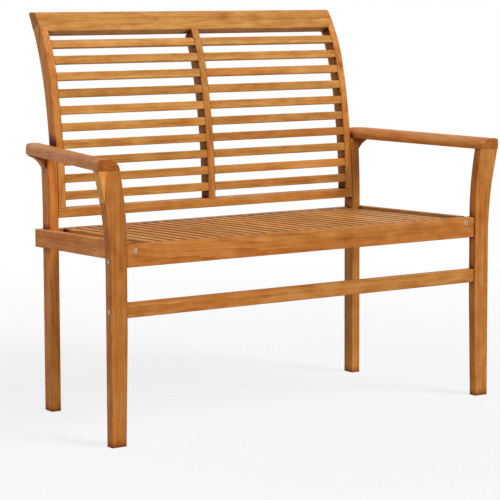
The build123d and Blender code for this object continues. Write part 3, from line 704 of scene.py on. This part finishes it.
# Small screws
def build_screw_tree():
    """A tree that sets one round screw head with a round recess on every point."""
    tree, given, result = new_group(
        "small screw heads",
        "GeometryNodeTree",
        [
            ("Points", "Geometry"),
            ("Head Radius", "Float"),
            ("Head Height", "Float"),
            ("Socket Radius", "Float"),
            ("Socket Depth", "Float"),
            ("Sides", "Int"),
            ("Turn", "Vector"),
            ("Finish", "Material"),
        ],
        [("Screws", "Geometry")],
    )

    head = tree.nodes.new("GeometryNodeMeshCylinder")
    head.fill_type = "NGON"
    link(tree, given.outputs["Sides"], head.inputs["Vertices"])
    link(tree, given.outputs["Head Radius"], head.inputs["Radius"])
    link(tree, given.outputs["Head Height"], head.inputs["Depth"])

    # A ring inside the top face, then the recess pressed down from it
    ring = tree.nodes.new("GeometryNodeExtrudeMesh")
    ring.mode = "FACES"
    ring.inputs["Offset Scale"].default_value = 0
    link(tree, head.outputs["Mesh"], ring.inputs["Mesh"])
    link(tree, head.outputs["Top"], ring.inputs["Selection"])
    smaller = tree.nodes.new("GeometryNodeScaleElements")
    share = do_sum(tree, "DIVIDE", given.outputs["Socket Radius"], given.outputs["Head Radius"])
    link(tree, ring.outputs["Mesh"], smaller.inputs["Geometry"])
    link(tree, ring.outputs["Top"], smaller.inputs["Selection"])
    link(tree, share, smaller.inputs["Scale"])
    recess = tree.nodes.new("GeometryNodeExtrudeMesh")
    recess.mode = "FACES"
    link(tree, smaller.outputs["Geometry"], recess.inputs["Mesh"])
    link(tree, ring.outputs["Top"], recess.inputs["Selection"])
    down = do_sum(tree, "SUBTRACT", 0, given.outputs["Socket Depth"])
    link(tree, down, recess.inputs["Offset Scale"])

    heads = tree.nodes.new("GeometryNodeInstanceOnPoints")
    link(tree, given.outputs["Points"], heads.inputs["Points"])
    link(tree, recess.outputs["Mesh"], heads.inputs["Instance"])
    turn = tree.nodes.new("FunctionNodeEulerToRotation")
    link(tree, given.outputs["Turn"], turn.inputs[0])
    link(tree, turn.outputs[0], heads.inputs["Rotation"])
    whole = tree.nodes.new("GeometryNodeRealizeInstances")
    link(tree, heads.outputs[0], whole.inputs[0])
    finish = tree.nodes.new("GeometryNodeSetMaterial")
    link(tree, whole.outputs[0], finish.inputs["Geometry"])
    link(tree, given.outputs["Finish"], finish.inputs["Material"])
    link(tree, finish.outputs[0], result.inputs["Screws"])
    return tree


def set_screws(name, places, turn, tree):
    """Screw heads at these places, turned to face out of the wood."""
    cloud = bmesh.new()
    for place in places:
        cloud.verts.new(place)
    points = bpy.data.meshes.new(name + " places")
    cloud.to_mesh(points)
    cloud.free()
    holder = bpy.data.objects.new(name + " places", points)
    bpy.context.scene.collection.objects.link(holder)
    modifier = holder.modifiers.new("screws", "NODES")
    modifier.node_group = tree
    values = {
        "Head Radius": SCREW_HEAD_RADIUS,
        "Head Height": SCREW_HEAD_HEIGHT,
        "Socket Radius": SCREW_SOCKET_RADIUS,
        "Socket Depth": SCREW_SOCKET_DEPTH,
        "Sides": SCREW_SIDES,
        "Turn": turn,
        "Finish": screw_steel,
    }
    for item in tree.interface.items_tree:
        if item.in_out == "INPUT" and item.name in values:
            modifier[item.identifier] = values[item.name]
    ready = holder.evaluated_get(bpy.context.evaluated_depsgraph_get())
    mesh = bpy.data.meshes.new_from_object(ready)
    mesh.name = name
    screws = bpy.data.objects.new(name, mesh)
    bpy.context.scene.collection.objects.link(screws)
    bpy.data.objects.remove(holder)
    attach(screws, "root")


def screw_the_seat(tree):
    """A screw under each end of every seat slat, up through the cleats."""
    spacing = seat_slat_spacing()
    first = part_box(FIRST_SLATS)[0].x + SLAT_WIDTH / 2
    places = []
    for cleat in ("seat_cleat_front", "seat_cleat_rear"):
        low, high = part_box(cleat)
        middle = (low.y + high.y) / 2
        # The underside slopes with the seat, and in the middle lies halfway up its fall
        under = low.z + (high.y - low.y) * seat_slope() / 2
        z = under - SCREW_HEAD_HEIGHT / 2 + SCREW_SEATING
        places += [(first + spacing * i, middle, z) for i in range(SEAT_SLATS)]
    set_screws("seat_screws", places, (math.pi, 0, 0), tree)


def screw_the_side_rails(tree):
    """Two screws from the inside of each rear leg into its side rail."""
    for side, side_name in ((-1, "left"), (1, "right")):
        leg_low, leg_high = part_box("rear_leg_" + side_name)
        rail_low, rail_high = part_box("side_rail_" + side_name)
        inner = leg_high.x if side < 0 else leg_low.x
        x = inner - side * (SCREW_HEAD_HEIGHT / 2 - SCREW_SEATING)
        y = leg_low.y + RAIL_SCREW_SETBACK
        heights = (rail_low.z + RAIL_SCREW_ABOVE_BASE, rail_high.z - RAIL_SCREW_BELOW_TOP)
        places = [(x, y, z) for z in heights]
        set_screws("side_rail_screws_" + side_name, places, (0, -side * math.pi / 2, 0), tree)


# Studio
def add_direct_ray(tree):
    """1 where the camera, a mirror or glass looks at the surface, and 0 for its light."""
    path = tree.nodes.new("ShaderNodeLightPath")
    direct = do_sum(tree, "MAXIMUM", path.outputs["Is Camera Ray"], path.outputs["Is Glossy Ray"])
    return do_sum(tree, "MAXIMUM", direct, path.outputs["Is Transmission Ray"])


def make_floor():
    """A plain pale floor that keeps the bench's shadow and fades to white far away."""
    mesh = bpy.data.meshes.new("studio floor")
    corners = [(-1, -1), (1, -1), (1, 1), (-1, 1)]
    mesh.from_pydata(
        [(x * FLOOR_HALF, y * FLOOR_HALF, -FLOOR_DROP) for x, y in corners], [], [(0, 1, 2, 3)]
    )
    floor = bpy.data.objects.new("studio floor", mesh)
    bpy.context.scene.collection.objects.link(floor)
    material, tree, surface = new_material("pale studio paper")
    place = add_place(tree)
    speckle = do_noise(tree, place, PAPER_NOISE)
    link(tree, do_ramp(tree, speckle, PAPER_TONES), surface.inputs["Base Color"])
    surface.inputs["Roughness"].default_value = PAPER_ROUGHNESS
    surface.inputs["Specular IOR Level"].default_value = PAPER_GLOSS

    away = do_vector(tree, "LENGTH", place)
    fade = do_range(tree, away, FADE_NEAR, FADE_FAR, FLOOR_WHITENESS, 1)
    fade = do_sum(tree, "MULTIPLY", fade, add_direct_ray(tree))
    white = tree.nodes.new("ShaderNodeEmission")
    white.inputs["Strength"].default_value = 1
    mixed = tree.nodes.new("ShaderNodeMixShader")
    link(tree, fade, mixed.inputs["Fac"])
    link(tree, surface.outputs[0], mixed.inputs[1])
    link(tree, white.outputs[0], mixed.inputs[2])
    link(tree, mixed.outputs[0], tree.nodes["Material Output"].inputs["Surface"])
    mesh.materials.append(material)


def make_lamp(name, towards, width, strength):
    """A wide, soft lamp far away in one direction."""
    light = bpy.data.lights.new(name, "SUN")
    light.angle = math.radians(width)
    light.energy = strength
    lamp = bpy.data.objects.new(name, light)
    lamp.location = Vector(towards).normalized() * LAMP_DISTANCE
    lamp.rotation_euler = Vector(towards).to_track_quat("Z", "Y").to_euler()
    bpy.context.scene.collection.objects.link(lamp)


def make_studio_air():
    """White surroundings: soft light on the bench, plain white behind it."""
    world = bpy.data.worlds.new("white studio")
    bpy.context.scene.world = world
    world.use_nodes = True
    tree = world.node_tree
    tree.nodes.clear()
    output = tree.nodes.new("ShaderNodeOutputWorld")
    room = tree.nodes.new("ShaderNodeBackground")
    room.inputs["Color"].default_value = WHITE
    room.inputs["Strength"].default_value = ROOM_LIGHT
    seen = tree.nodes.new("ShaderNodeBackground")
    seen.inputs["Color"].default_value = WHITE
    seen.inputs["Strength"].default_value = 1
    mixed = tree.nodes.new("ShaderNodeMixShader")
    link(tree, add_direct_ray(tree), mixed.inputs["Fac"])
    link(tree, room.outputs[0], mixed.inputs[1])
    link(tree, seen.outputs[0], mixed.inputs[2])
    link(tree, mixed.outputs[0], output.inputs["Surface"])


def make_camera():
    """The photograph's view of the bench."""
    data = bpy.data.cameras.new("photograph view")
    data.sensor_width = CAMERA_SENSOR
    data.lens = CAMERA_LENS
    data.shift_x = CAMERA_SHIFT
    data.shift_y = -CAMERA_SHIFT
    camera = bpy.data.objects.new("photograph view", data)
    camera.location = CAMERA_PLACE
    level = Euler((math.pi / 2 - CAMERA_DIP, 0, -CAMERA_HEADING)).to_matrix()
    camera.rotation_euler = (level @ Matrix.Rotation(CAMERA_ROLL, 3, "Z")).to_euler()
    bpy.context.scene.collection.objects.link(camera)
    bpy.context.scene.camera = camera


dress_frame()
screw_tree = build_screw_tree()
screw_the_seat(screw_tree)
screw_the_side_rails(screw_tree)
make_floor()
for lamp_values in LAMPS:
    make_lamp(*lamp_values)
make_studio_air()
make_camera()
bpy.context.scene.view_settings.view_transform = "Standard"
